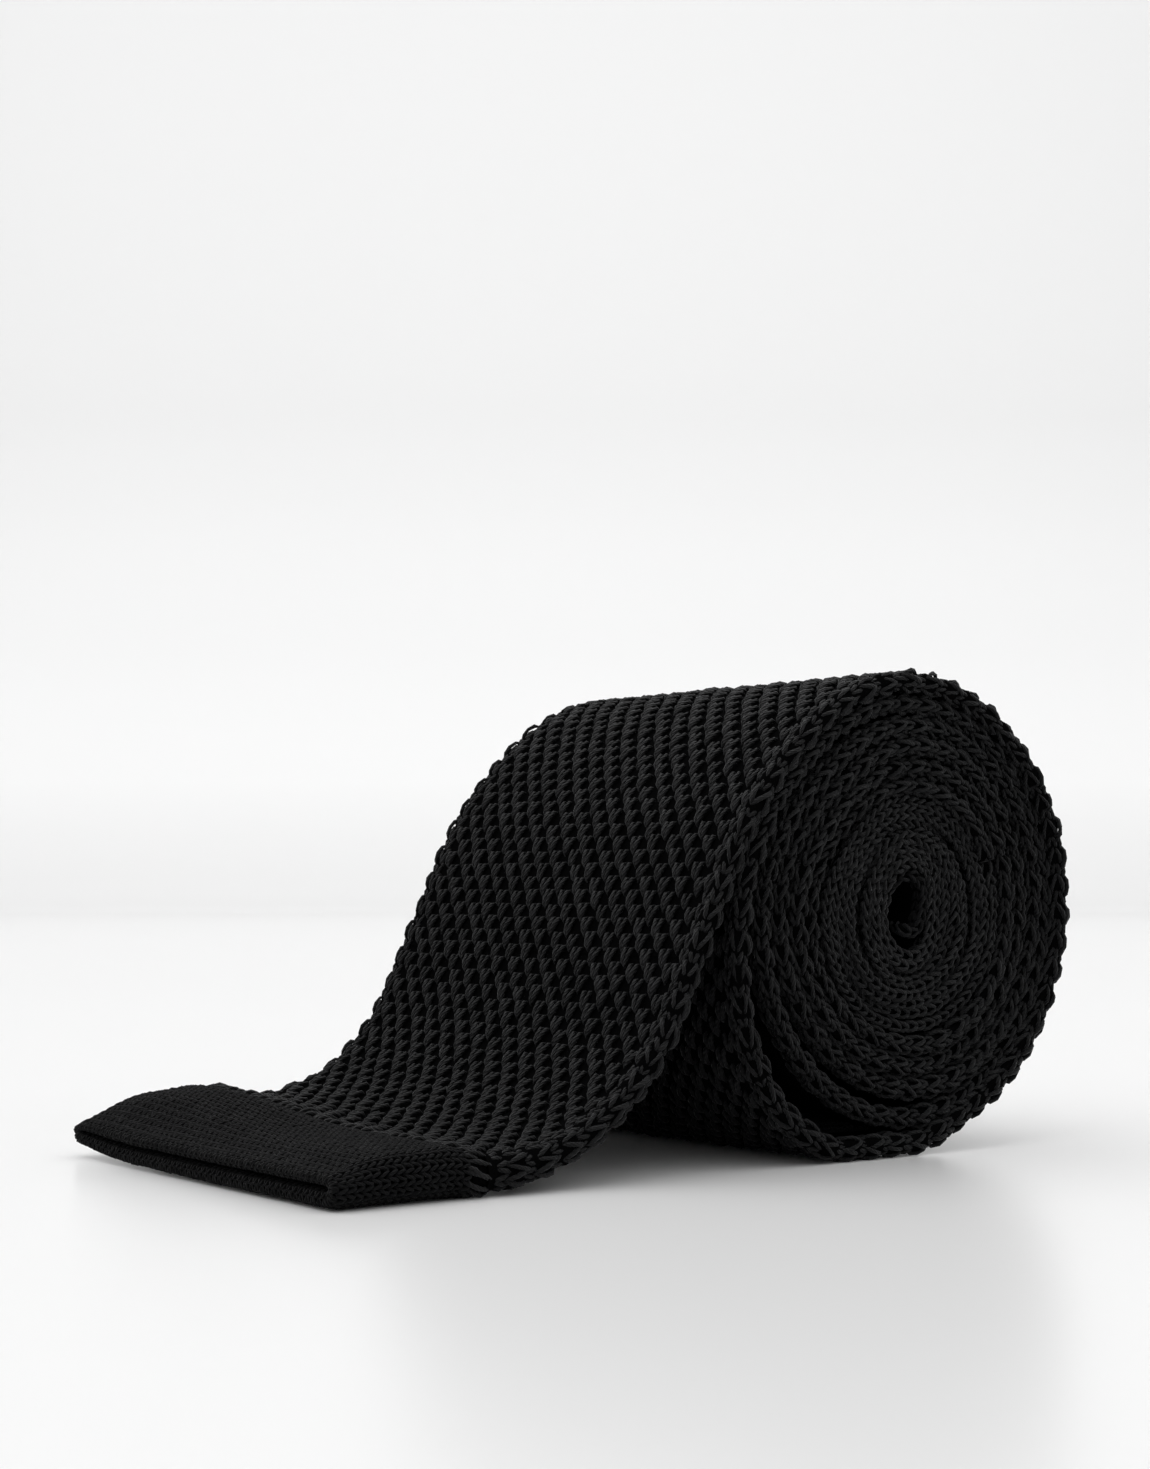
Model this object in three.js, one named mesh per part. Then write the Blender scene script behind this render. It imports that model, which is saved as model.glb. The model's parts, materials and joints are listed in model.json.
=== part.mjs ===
// A knitted necktie with square ends, rolled up for storage. The narrow end is at the middle of
// the roll. The wide end leaves the roll at its upper left, drops in an S curve and lies flat.
// Millimetres, +Z up. The roll's axis runs along Y, and the free end points toward -X.
import * as THREE from 'three';

// ---- driving dimensions -------------------------------------------------------------------
const BLADE_WIDTH = 60;
const INNER_WIDTH = 58.4;
const CORE_WIDTH = 57;
const BLADE_PITCH = 2.45;
const BLADE_THICKNESS = 2.0;
const CORE_PITCH = 1.1;
const CORE_THICKNESS = 0.72;
const GAP = 0.3;

const ROLL_HEIGHT = 28.7;
const OUTER_RADIUS = 27.4;
const BLADE_END_RADIUS = 14.3;
const NECK_END_RADIUS = 8.6;
const CORE_END_RADIUS = 3.2;

// The drape leaves the roll at this polar angle, counted from +X, and the tie winds inward from
// there with a falling angle.
const LEAVE_ANGLE = 150;
// The blade presses the roll flatter around this angle.
const FLAT_ANGLE = 135;
const FLAT_SPREAD = 32;
const FLAT_SHARE = 0.075;
// The outermost turn is loose and sags along the bottom, over this stretch of winding angle.
const SAG_START = 200;
const SAG_END = 338;
const SAG_DEPTH = 4.2;

const DRAPE_RADIUS = 45;
const DRAPE_SLOPE = 64;
const FOOT_RADIUS = 28;
const FOOT_HINGE_SLOPE = 35;
const FOOT_THICKNESS = 3.9;
const TIP_THICKNESS = 4.6;
const TIP_LENGTH = 16.4;
const TIP_WALL = 1.7;

const SEAM_LENGTH = 1.5;
const SEAM_BULGE = 0.5;
const NARROW_FACING_LENGTH = 16;

const KEEPER_DISTANCE = 195;
const KEEPER_LENGTH = 11;
const KEEPER_WIDTH = 46;
const KEEPER_THICKNESS = 0.6;
const KEEPER_RISE = 0.9;
const TACK_WIDTH = 1.4;
const TACK_THICKNESS = 0.6;

const BLADE_STEP = 10;
const INNER_STEP = 16;
const CORE_STEP = 20;
const END_SEGMENTS = 6;

// ---- materials ----------------------------------------------------------------------------
const knit = (name, color, roughness) => {
  const material = new THREE.MeshStandardMaterial({ color, roughness, metalness: 0 });
  material.name = name;
  return material;
};
const bladeKnit = knit('blade_knit', 0x1c1c1e, 0.82);
const coreKnit = knit('fine_knit', 0x242426, 0.86);
const facingKnit = knit('facing_knit', 0x1a1a1c, 0.84);
const seamYarn = knit('seam_yarn', 0x202022, 0.78);
const keeperTape = knit('keeper_tape', 0x141416, 0.6);

// ---- the line that the middle of the tie follows ------------------------------------------
const rad = THREE.MathUtils.degToRad;
const deg = THREE.MathUtils.radToDeg;
const bladeTurns = (OUTER_RADIUS - BLADE_END_RADIUS) / BLADE_PITCH;
const bladeEnd = bladeTurns * 360;

// Radius of a true spiral at winding angle w: coarse blade first, then the finer core. The core
// sinks a little more in its first turn, to pass under the end of the thicker blade.
const stepIn = (BLADE_THICKNESS - CORE_THICKNESS) / 2;
const spiralRadius = (w) => {
  if (w <= bladeEnd) {
    return OUTER_RADIUS - (BLADE_PITCH * w) / 360;
  }
  const u = (w - bladeEnd) / 360;
  return BLADE_END_RADIUS - CORE_PITCH * u - stepIn * THREE.MathUtils.smoothstep(u, 0, 1);
};
const windingAt = (radius) => bladeEnd + (360 * (BLADE_END_RADIUS - stepIn - radius)) / CORE_PITCH;

const wrap = (angle) => ((((angle + 180) % 360) + 360) % 360) - 180;
const sag = (w) => {
  if (w < SAG_START || w > SAG_END) {
    return 0;
  }
  return SAG_DEPTH * Math.sin((Math.PI * (w - SAG_START)) / (SAG_END - SAG_START)) ** 2;
};

// The point of the rolled tie at winding angle w. The outermost turn rests flat on the ground.
const rollPoint = (w) => {
  const angle = LEAVE_ANGLE - w;
  const off = wrap(angle - FLAT_ANGLE) / FLAT_SPREAD;
  const r = spiralRadius(w) * (1 - FLAT_SHARE * Math.exp(-off * off)) + sag(w);
  const x = r * Math.cos(rad(angle));
  const z = ROLL_HEIGHT + r * Math.sin(rad(angle));
  return new THREE.Vector2(x, w < SAG_END ? Math.max(z, BLADE_THICKNESS / 2) : z);
};

// Stations along the roll, from winding angle w0 inward to w1, each with its outward normal.
const rollStations = (w0, w1, step, thickness) => {
  const count = Math.max(2, Math.ceil((w1 - w0) / step));
  const stations = [];
  for (let i = 0; i <= count; i += 1) {
    const w = w0 + ((w1 - w0) * i) / count;
    const ahead = rollPoint(Math.min(w + 1, w1));
    const behind = rollPoint(Math.max(w - 1, w0));
    const tangent = ahead.clone().sub(behind).normalize();
    const normal = new THREE.Vector2(-tangent.y, tangent.x);
    stations.push({ point: rollPoint(w), normal, thickness });
  }
  return stations;
};

// The drape is drawn from the roll outward: an arc that steepens, a straight fall, and a foot
// arc that turns it level with the ground.
const leavePoint = rollPoint(0);
const leaveTangent = leavePoint.clone().sub(rollPoint(1));
const leaveSlope = deg(Math.atan2(-leaveTangent.y, -leaveTangent.x));
const slopePoint = (from, radius, slopeA, slopeB) => {
  const bend = Math.sign(slopeB - slopeA) || 1;
  const dx = bend * radius * (Math.sin(rad(slopeB)) - Math.sin(rad(slopeA)));
  const dz = bend * radius * (Math.cos(rad(slopeA)) - Math.cos(rad(slopeB)));
  return new THREE.Vector2(from.x - dx, from.y - dz);
};
const drapeArcEnd = slopePoint(leavePoint, DRAPE_RADIUS, leaveSlope, DRAPE_SLOPE);
const footDrop = FOOT_RADIUS * (1 - Math.cos(rad(DRAPE_SLOPE)));
const tongueHeight = TIP_THICKNESS / 2;
const fall = (drapeArcEnd.y - tongueHeight - footDrop) / Math.sin(rad(DRAPE_SLOPE));
const footStart = new THREE.Vector2(
  drapeArcEnd.x - fall * Math.cos(rad(DRAPE_SLOPE)),
  drapeArcEnd.y - fall * Math.sin(rad(DRAPE_SLOPE)),
);
const footHinge = slopePoint(footStart, FOOT_RADIUS, DRAPE_SLOPE, FOOT_HINGE_SLOPE);
const footEnd = slopePoint(footStart, FOOT_RADIUS, DRAPE_SLOPE, 0);

// A station of the drape. Its outward normal is the side that faces up and away from the roll.
const slopeStation = (point, slope, thickness) => ({
  point,
  normal: new THREE.Vector2(-Math.sin(rad(slope)), Math.cos(rad(slope))),
  thickness,
});
const arcStations = (from, radius, slopeA, slopeB, count, thicknessAt) => {
  const stations = [];
  for (let i = 0; i <= count; i += 1) {
    const slope = slopeA + ((slopeB - slopeA) * i) / count;
    stations.push(slopeStation(slopePoint(from, radius, slopeA, slope), slope, thicknessAt(slope)));
  }
  return stations;
};

// ---- solids -------------------------------------------------------------------------------
// A band of cloth: the outline is one face, one end, the other face and the other end, swept
// across the width. A round end is a half circle about its last station.
const halfRound = (station, sign) => {
  const points = [];
  const radius = station.thickness / 2;
  const start = Math.atan2(station.normal.y, station.normal.x);
  for (let i = 1; i < END_SEGMENTS; i += 1) {
    const a = start + (sign * Math.PI * i) / END_SEGMENTS;
    const spoke = new THREE.Vector2(Math.cos(a), Math.sin(a)).multiplyScalar(radius);
    points.push(station.point.clone().add(spoke));
  }
  return points;
};
const offset = (station, side) => {
  const shift = station.normal.clone().multiplyScalar((side * station.thickness) / 2);
  return station.point.clone().add(shift);
};
const sweepAcross = (shape, width) => {
  const geometry = new THREE.ExtrudeGeometry(shape, { depth: width, bevelEnabled: false, steps: 1 });
  geometry.rotateX(Math.PI / 2);
  geometry.translate(0, width / 2, 0);
  return geometry;
};
const bandGeometry = (stations, width, { roundStart = 0, roundEnd = 0 } = {}) => {
  const outer = stations.map((station) => offset(station, 1));
  const inner = stations.map((station) => offset(station, -1)).reverse();
  const last = stations[stations.length - 1];
  const endCap = roundEnd ? halfRound(last, roundEnd) : [];
  const startCap = roundStart ? halfRound(stations[0], roundStart).reverse() : [];
  return sweepAcross(new THREE.Shape([...outer, ...endCap, ...inner, ...startCap]), width);
};

const group = new THREE.Group();
const add = (name, geometry, material) => {
  const mesh = new THREE.Mesh(geometry, material);
  mesh.name = name;
  group.add(mesh);
  return mesh;
};

// Winding angle that a length of cloth covers at winding angle w.
const windFor = (length, w) => deg(length / spiralRadius(w));

// A strip of seam stitches that closes the space between two pieces, a little proud of both.
const seamStations = (w0, thickness) => {
  const w1 = w0 + windFor(SEAM_LENGTH, w0);
  return rollStations(w0, w1, BLADE_STEP, thickness);
};

// Outermost turn of the wide blade. It ends round at the first hinge, where the drape begins.
const innerStart = 358;
const outerEnd = innerStart - windFor(GAP, innerStart);
add(
  'wide_blade_outer_turn',
  bandGeometry(rollStations(0, outerEnd, BLADE_STEP, BLADE_THICKNESS), BLADE_WIDTH, { roundStart: -1 }),
  bladeKnit,
);

// Inner turns of the wide blade, where it is narrower.
add(
  'wide_blade_inner_turns',
  bandGeometry(rollStations(innerStart, bladeEnd, INNER_STEP, BLADE_THICKNESS), INNER_WIDTH),
  bladeKnit,
);

// The seam to the neckband, the neckband, its seam to the narrow blade, and the narrow blade.
const gapAt = (w) => windFor(GAP, w);
const neckSeam = bladeEnd + gapAt(bladeEnd);
add('blade_to_neck_seam', bandGeometry(seamStations(neckSeam, CORE_THICKNESS + SEAM_BULGE), CORE_WIDTH), seamYarn);
const neckStart = neckSeam + windFor(SEAM_LENGTH + GAP, neckSeam);
const neckEnd = windingAt(NECK_END_RADIUS);
add(
  'neckband',
  bandGeometry(rollStations(neckStart, neckEnd, CORE_STEP, CORE_THICKNESS), CORE_WIDTH),
  coreKnit,
);
const narrowSeam = neckEnd + gapAt(neckEnd);
add('neck_to_narrow_seam', bandGeometry(seamStations(narrowSeam, CORE_THICKNESS), CORE_WIDTH), seamYarn);
const narrowStart = narrowSeam + windFor(SEAM_LENGTH + GAP, narrowSeam);
const facingEnd = windingAt(CORE_END_RADIUS);
const facingStart = facingEnd - windFor(NARROW_FACING_LENGTH, facingEnd);
const tailSeam = facingStart - windFor(SEAM_LENGTH + GAP, facingStart);
const narrowEnd = tailSeam - gapAt(tailSeam);
add(
  'narrow_blade',
  bandGeometry(rollStations(narrowStart, narrowEnd, CORE_STEP, CORE_THICKNESS), CORE_WIDTH),
  coreKnit,
);
add('narrow_end_seam', bandGeometry(seamStations(tailSeam, CORE_THICKNESS), CORE_WIDTH), seamYarn);
add(
  'narrow_end_facing',
  bandGeometry(rollStations(facingStart, facingEnd, CORE_STEP, CORE_THICKNESS), CORE_WIDTH),
  facingKnit,
);

// The drape, from the first hinge to the second at the foot of the S curve.
const along = (length, radius) => deg(length / radius);
const hingeClear = BLADE_THICKNESS / 2 + GAP;
const bladeThick = () => BLADE_THICKNESS;
const drapeClear = slopePoint(leavePoint, DRAPE_RADIUS, leaveSlope, leaveSlope + along(hingeClear, DRAPE_RADIUS));
const drapeStations = [
  ...arcStations(
    drapeClear,
    DRAPE_RADIUS,
    leaveSlope + along(hingeClear, DRAPE_RADIUS),
    DRAPE_SLOPE,
    3,
    bladeThick,
  ),
  ...arcStations(footStart, FOOT_RADIUS, DRAPE_SLOPE, FOOT_HINGE_SLOPE, 5, bladeThick),
];
add('wide_blade_drape', bandGeometry(drapeStations, BLADE_WIDTH, { roundEnd: 1 }), bladeKnit);

// The foot, from the second hinge to the tip seam. Its two plies part, so it grows thicker.
const footSlope = FOOT_HINGE_SLOPE - along(hingeClear, FOOT_RADIUS);
const footThick = (slope) => THREE.MathUtils.mapLinear(slope, footSlope, 0, BLADE_THICKNESS, FOOT_THICKNESS);
const footClear = slopePoint(footStart, FOOT_RADIUS, DRAPE_SLOPE, footSlope);
add(
  'wide_blade_foot',
  bandGeometry(arcStations(footClear, FOOT_RADIUS, footSlope, 0, 6, footThick), BLADE_WIDTH),
  bladeKnit,
);

// The row of joining stitches, and the fine tip facing: a flat tube that is open at its mouth.
const racetrack = (width, height, inset) => {
  const half = height / 2 - inset;
  const reach = width / 2 - inset - half;
  const path = inset ? new THREE.Path() : new THREE.Shape();
  path.absarc(reach, 0, half, -Math.PI / 2, Math.PI / 2, false);
  path.absarc(-reach, 0, half, Math.PI / 2, (3 * Math.PI) / 2, false);
  return path;
};
const tubeAlongX = (profile, length, x0, height) => {
  const geometry = new THREE.ExtrudeGeometry(profile, { depth: length, bevelEnabled: false, curveSegments: 6 });
  geometry.rotateX(Math.PI / 2);
  geometry.rotateZ(-Math.PI / 2);
  geometry.translate(x0, 0, height);
  return geometry;
};
const seamX = footEnd.x - GAP;
add(
  'tip_seam',
  tubeAlongX(racetrack(BLADE_WIDTH, FOOT_THICKNESS + SEAM_BULGE, 0), SEAM_LENGTH, seamX, tongueHeight),
  seamYarn,
);
const facingX = seamX - SEAM_LENGTH - GAP;
const facingProfile = racetrack(BLADE_WIDTH, TIP_THICKNESS, 0);
facingProfile.holes.push(racetrack(BLADE_WIDTH, TIP_THICKNESS, TIP_WALL));
add('tip_facing', tubeAlongX(facingProfile, TIP_LENGTH, facingX, tongueHeight), facingKnit);

// The keeper loop for the narrow end, sewn across the back of the wide blade with a bar tack at
// each end. On the roll it lies in the space above the sagging bottom of the outermost turn.
const drapeLength =
  TIP_LENGTH +
  SEAM_LENGTH +
  2 * GAP +
  FOOT_RADIUS * rad(DRAPE_SLOPE) +
  fall +
  DRAPE_RADIUS * rad(DRAPE_SLOPE - leaveSlope);
const keeperWinding = windFor(KEEPER_DISTANCE - drapeLength, 0);
const keeperPoint = rollPoint(keeperWinding);
const keeperBase = keeperPoint.y + BLADE_THICKNESS / 2 + GAP;
const keeperShape = () => {
  const shape = new THREE.Shape();
  const end = KEEPER_WIDTH / 2;
  const flat = end - 5;
  const rise = KEEPER_RISE;
  shape.moveTo(-end, 0);
  shape.lineTo(-flat, 0);
  shape.quadraticCurveTo(-flat + 3, 0, -flat + 6, rise);
  shape.lineTo(flat - 6, rise);
  shape.quadraticCurveTo(flat - 3, 0, flat, 0);
  shape.lineTo(end, 0);
  shape.lineTo(end, KEEPER_THICKNESS);
  shape.lineTo(flat, KEEPER_THICKNESS);
  shape.quadraticCurveTo(flat - 3, KEEPER_THICKNESS, flat - 6, rise + KEEPER_THICKNESS);
  shape.lineTo(-flat + 6, rise + KEEPER_THICKNESS);
  shape.quadraticCurveTo(-flat + 3, KEEPER_THICKNESS, -flat, KEEPER_THICKNESS);
  shape.lineTo(-end, KEEPER_THICKNESS);
  shape.closePath();
  return shape;
};
const keeperX = keeperPoint.x + KEEPER_LENGTH / 2;
add('keeper_loop', tubeAlongX(keeperShape(), KEEPER_LENGTH, keeperX, keeperBase), keeperTape);
for (const [side, sign] of [['front', -1], ['back', 1]]) {
  const tack = new THREE.BoxGeometry(KEEPER_LENGTH - 2, TACK_WIDTH, TACK_THICKNESS);
  const tackHeight = keeperBase + KEEPER_THICKNESS + GAP + TACK_THICKNESS / 2;
  tack.translate(keeperPoint.x, sign * (KEEPER_WIDTH / 2 - 2), tackHeight);
  add(`keeper_tack_${side}`, tack, seamYarn);
}

// The origin is the middle of the whole tie's footprint, on the ground.
const box = new THREE.Box3().setFromObject(group);
const centre = box.getCenter(new THREE.Vector3());
for (const mesh of group.children) {
  mesh.position.set(-centre.x, -centre.y, -box.min.z);
}

export default group;
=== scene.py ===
import json
import math

import bpy
import numpy as np
from mathutils import Matrix, Vector


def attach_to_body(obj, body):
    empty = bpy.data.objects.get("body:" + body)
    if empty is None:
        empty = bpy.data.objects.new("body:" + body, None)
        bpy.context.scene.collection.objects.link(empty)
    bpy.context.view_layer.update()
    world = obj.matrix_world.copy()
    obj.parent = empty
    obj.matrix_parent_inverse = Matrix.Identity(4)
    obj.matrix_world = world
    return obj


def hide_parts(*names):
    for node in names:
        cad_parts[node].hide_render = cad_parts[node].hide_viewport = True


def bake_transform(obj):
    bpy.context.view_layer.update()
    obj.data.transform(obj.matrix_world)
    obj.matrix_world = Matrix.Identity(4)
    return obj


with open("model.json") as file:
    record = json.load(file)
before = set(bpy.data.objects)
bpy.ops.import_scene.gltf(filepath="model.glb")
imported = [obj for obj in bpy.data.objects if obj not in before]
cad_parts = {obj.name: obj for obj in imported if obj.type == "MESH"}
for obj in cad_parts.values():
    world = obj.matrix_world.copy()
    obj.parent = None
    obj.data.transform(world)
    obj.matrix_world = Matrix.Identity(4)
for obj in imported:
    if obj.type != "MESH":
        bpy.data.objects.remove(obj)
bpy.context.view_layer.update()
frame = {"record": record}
JOINTS = {joint["name"]: joint for joint in frame["record"]["behaviour"]["joints"]}

# A rolled knitted tie, with every stitch that shows drawn as a tube of yarn on a dark cloth, whose
# darkness is partly painted shade in the holes.
# Everything below is worked out in millimetres in the roll's own frame, with the roll's axis at
# x = 0, and is moved into the row frame when a mesh is made. Angles are in degrees.
MM = 0.001
RNG = np.random.default_rng(11)

# ---- the line that the middle of the tie follows, close to the CAD's ----------------------------
BLADE_PITCH, BLADE_THICKNESS = 2.45, 2.0
CORE_PITCH, CORE_THICKNESS = 1.1, 0.72
ROLL_HEIGHT, OUTER_RADIUS, BLADE_END_RADIUS = 28.7, 27.4, 14.3
NECK_END_RADIUS, CORE_END_RADIUS = 8.6, 3.2
LEAVE_ANGLE, FLAT_ANGLE, FLAT_SPREAD, FLAT_SHARE = 150, 135, 32, 0.075
SAG_START, SAG_END, SAG_DEPTH = 208, 338, 4.2
SECOND_SAG_START, SECOND_SAG_END, SECOND_SAG_DEPTH = 520, 700, 0.9
TALL_SHARE, WANDER, CURL_SHARE, CURL_TURN = 0.2, 0.16, 0.4, 330
BULGE_SHARE, BULGE_ANGLE, BULGE_SPREAD, ASIDE = 0.05, 38, 58, 1.5
DRAPE_RADIUS, DRAPE_SLOPE, FOOT_RADIUS, FOOT_HINGE_SLOPE = 45, 64, 28, 35
TIP_THICKNESS, TIP_LENGTH, SEAM_LENGTH, GAP = 4.6, 16.4, 1.5, 0.3
BLADE_WIDTH, INNER_WIDTH, CORE_WIDTH = 60, 58.4, 57
# About the length once round the tie, for texture coordinates in mm.
ROUND = 124
# Thickness of the core's tube as it is drawn, a little more than in the CAD.
CORE_FACES = 0.86
YARN_CLEARANCE = 0.45
# A yarn's section: points round it, how far it is from round, and its turn in radians per mm.
YARN_SIDES, YARN_PLY, YARN_TWIST = 6, 0.17, 2.6
# Where the tie is narrower, so that its folds sit back from the rest: winding angle, reach along
# the tie and how much narrower it is. Each fold sits back by half of that.
SET_BACK = (
    (1205, 10.0, 1.3), (1825, 13.0, 2.0), (2450, 7.0, 1.6), (2990, 9.0, 2.8), (3565, 7.0, 2.2),
    (4200, 5.0, 1.6),
)
HEM_WALL, HEM_DEPTH = 1.36, 9.0
# How far from the tip the keeper loop is, and its sizes.
KEEPER_AT, KEEPER_LENGTH, KEEPER_WIDTH, KEEPER_RISE = 195, 11, 46, 0.9
# The camera that was fitted to the photograph. Place in mm, yaw to the right of +Y, pitch up.
CAMERA_PLACE, CAMERA_YAW, CAMERA_PITCH = (-199.6, -230.2, 33.1), 36.88, 3.39
FOCAL_PIXELS, PHOTO_HEIGHT, SENSOR = 2363.9, 1469, 36.0

BLADE_END = (OUTER_RADIUS - BLADE_END_RADIUS) / BLADE_PITCH * 360
STEP_IN = (BLADE_THICKNESS - CORE_THICKNESS) / 2
CORE_END = BLADE_END + (BLADE_END_RADIUS - STEP_IN - CORE_END_RADIUS) / CORE_PITCH * 360
NECK_END = BLADE_END + (BLADE_END_RADIUS - STEP_IN - NECK_END_RADIUS) / CORE_PITCH * 360


def smoothstep(low, high, x):
    """0 below low, 1 above high, and a smooth rise between them."""
    t = np.clip((np.asarray(x, float) - low) / (high - low), 0, 1)
    return t * t * (3 - 2 * t)


def sag_at(w, start, end, depth):
    """How far the cloth hangs below the spiral between two winding angles."""
    hanging = (w > start) & (w < end)
    return np.where(hanging, depth * np.sin(np.pi * (w - start) / (end - start)) ** 2, 0)


def roll_points(w):
    """Centre-line points of the wound tie at winding angles w, in degrees, outermost turn first."""
    w = np.asarray(w, float)
    u = (w - BLADE_END) / 360
    coarse = OUTER_RADIUS - BLADE_PITCH * w / 360
    fine = BLADE_END_RADIUS - CORE_PITCH * u - STEP_IN * smoothstep(0, 1, u)
    radius = np.where(w <= BLADE_END, coarse, fine)
    angle = LEAVE_ANGLE - w
    off = ((angle - FLAT_ANGLE + 180) % 360 - 180) / FLAT_SPREAD
    sag = sag_at(w, SAG_START, SAG_END, SAG_DEPTH)
    sag = sag + sag_at(w, SECOND_SAG_START, SECOND_SAG_END, SECOND_SAG_DEPTH)
    # The innermost turns were wound round a fold, so the middle is taller than it is wide.
    tall = TALL_SHARE * smoothstep(BLADE_END + 900, CORE_END, w)
    a = np.radians(angle)
    radius = radius * (1 - FLAT_SHARE * np.exp(-off * off)) * (1 - tall * np.cos(2 * a)) + sag
    # Each turn wanders a little from a true spiral.
    radius = radius + WANDER * np.sin(3.1 * a + 0.9) * smoothstep(300, 700, w)
    # The last of the narrow end curls into the hole that the fold leaves.
    radius = radius * (1 - CURL_SHARE * smoothstep(CORE_END - CURL_TURN, CORE_END, w))
    # The roll bulges up and to the right, and its inner turns sit to the right of the outer ones.
    from_bulge = (angle - BULGE_ANGLE + 180) % 360 - 180
    bulge = 1 + BULGE_SHARE * np.exp(-((from_bulge / BULGE_SPREAD) ** 2))
    aside = ASIDE * smoothstep(250, 900, w)
    x, z = radius * bulge * np.cos(a) + aside, ROLL_HEIGHT + radius * bulge * np.sin(a)
    floor = BLADE_THICKNESS / 2 + YARN_CLEARANCE
    resting = floor + np.log1p(np.exp((z - floor) * 4)) / 4
    return x, np.where(w < SAG_END, resting, z)


def slope_arc(start, radius, slope_a, slope_b, step):
    """Points of an arc of the drape, from the roll outward. A slope is degrees below level."""
    count = max(2, int(abs(math.radians(slope_b - slope_a)) * radius / step))
    slopes = np.radians(np.linspace(slope_a, slope_b, count + 1))
    bend = 1 if slope_b > slope_a else -1
    x = start[0] - bend * radius * (np.sin(slopes) - np.sin(slopes[0]))
    z = start[1] - bend * radius * (np.cos(slopes[0]) - np.cos(slopes))
    return np.stack([x, z], 1)


def centre_line():
    """The whole centre line from the tip of the wide end to the narrow end, evenly spaced."""
    step = 0.25
    x, z = roll_points(np.array([0.0, 1.0]))
    leave = (x[0], z[0])
    slope = math.degrees(math.atan2(z[1] - z[0], x[1] - x[0]))
    arc = slope_arc(leave, DRAPE_RADIUS, slope, DRAPE_SLOPE, step)
    steep = math.radians(DRAPE_SLOPE)
    drop = FOOT_RADIUS * (1 - math.cos(steep))
    fall = (arc[-1][1] - TIP_THICKNESS / 2 - drop) / math.sin(steep)
    run = np.linspace(0, fall, int(fall / step))[1:, None]
    straight = arc[-1] + run * np.array([-math.cos(steep), -math.sin(steep)])
    foot = slope_arc(straight[-1], FOOT_RADIUS, DRAPE_SLOPE, 0, step)
    flat = TIP_LENGTH + SEAM_LENGTH + 2 * GAP
    level = foot[-1] + np.linspace(0, flat, int(flat / step))[1:, None] * np.array([-1.0, 0.0])
    hanging = np.concatenate([arc, straight, foot[1:], level])[::-1]
    w = np.linspace(0, CORE_END, int(CORE_END / 0.8))[1:]
    wound = np.stack(roll_points(w), 1)
    points = np.concatenate([hanging, wound])
    along = np.concatenate([[0], np.cumsum(np.hypot(*np.diff(points, axis=0).T))])
    leave_at = along[len(hanging) - 1]
    wound_at = np.concatenate([[leave_at], along[len(hanging):]])
    even = np.arange(0, along[-1], step)
    line = np.stack([np.interp(even, along, points[:, k]) for k in (0, 1)], 1)
    kernel = np.hanning(15)
    kernel /= kernel.sum()
    padded = np.concatenate([np.repeat(line[:1], 7, 0), line, np.repeat(line[-1:], 7, 0)])
    padded[:7, 0] -= np.arange(7, 0, -1) * step
    smooth = np.stack([np.convolve(padded[:, k], kernel, "valid") for k in (0, 1)], 1)
    smooth[-8:] = line[-8:]
    return even, smooth, leave_at, (np.concatenate([[0], w]), wound_at)


ALONG, LINE, LEAVE_AT, (WINDING, WOUND_AT) = centre_line()
TANGENT = np.gradient(LINE, axis=0)
TANGENT /= np.linalg.norm(TANGENT, axis=1)[:, None]
NORMAL = np.stack([-TANGENT[:, 1], TANGENT[:, 0]], 1)
LEAVE_POINT = np.array([np.interp(LEAVE_AT, ALONG, LINE[:, k]) for k in (0, 1)])
SHIFT_X = JOINTS["drape_lift"]["pos_m"][0] / MM - LEAVE_POINT[0]


def at_winding(w):
    """How far along the tie, from its tip, winding angle w lies."""
    return float(np.interp(w, WINDING, WOUND_AT))


SEAM_AT = TIP_LENGTH + GAP
FOOT_AT = SEAM_AT + SEAM_LENGTH
FOOT_HINGE_AT = FOOT_AT + GAP + FOOT_RADIUS * math.radians(FOOT_HINGE_SLOPE)
MID_DRAPE_AT = (FOOT_HINGE_AT + LEAVE_AT) / 2
ROLL_TOP_AT = at_winding(45)
OUTER_END_AT = at_winding(358)
BLADE_END_AT = at_winding(BLADE_END)
NECK_END_AT = at_winding(NECK_END)
CORE_END_AT = float(ALONG[-1])
NARROW_FACING_AT = CORE_END_AT - 16


# ---- the cross-section ---------------------------------------------------------------------------
def thickness(s):
    """Thickness between the two faces of the flat tube, not counting how far the yarn stands up."""
    marks = [0, 7, 14, 18.5, 26, 36, 46, OUTER_END_AT - 6, OUTER_END_AT + 6, BLADE_END_AT]
    values = [3.7, 4.2, 4.5, 3.7, 3.0, 2.3, 1.9, 1.9, 1.7, 1.7]
    thick = np.interp(s, marks, values)
    return np.where(s > BLADE_END_AT, CORE_FACES, thick)


def width(s):
    """Width of the tie over its folds, not counting how far the yarn stands up."""
    turn = (s - OUTER_END_AT) / 60
    inner = INNER_WIDTH - 1.0 + 0.5 * np.sin(turn * 5.1) + 0.25 * np.sin(turn * 11.3 + 1)
    core = CORE_WIDTH - 0.7 + 0.55 * np.sin(turn * 9.1) + 0.25 * np.sin(turn * 23.3 + 1)
    wide = np.where(s < OUTER_END_AT, BLADE_WIDTH - 0.9, inner)
    blended = wide + (inner - wide) * smoothstep(OUTER_END_AT - 30, OUTER_END_AT + 30, s)
    back = 0
    for winding, reach, depth in SET_BACK:
        back = back + depth * np.exp(-(((s - at_winding(winding)) / reach) ** 2))
    return np.where(s > BLADE_END_AT, core, blended) - back


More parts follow.
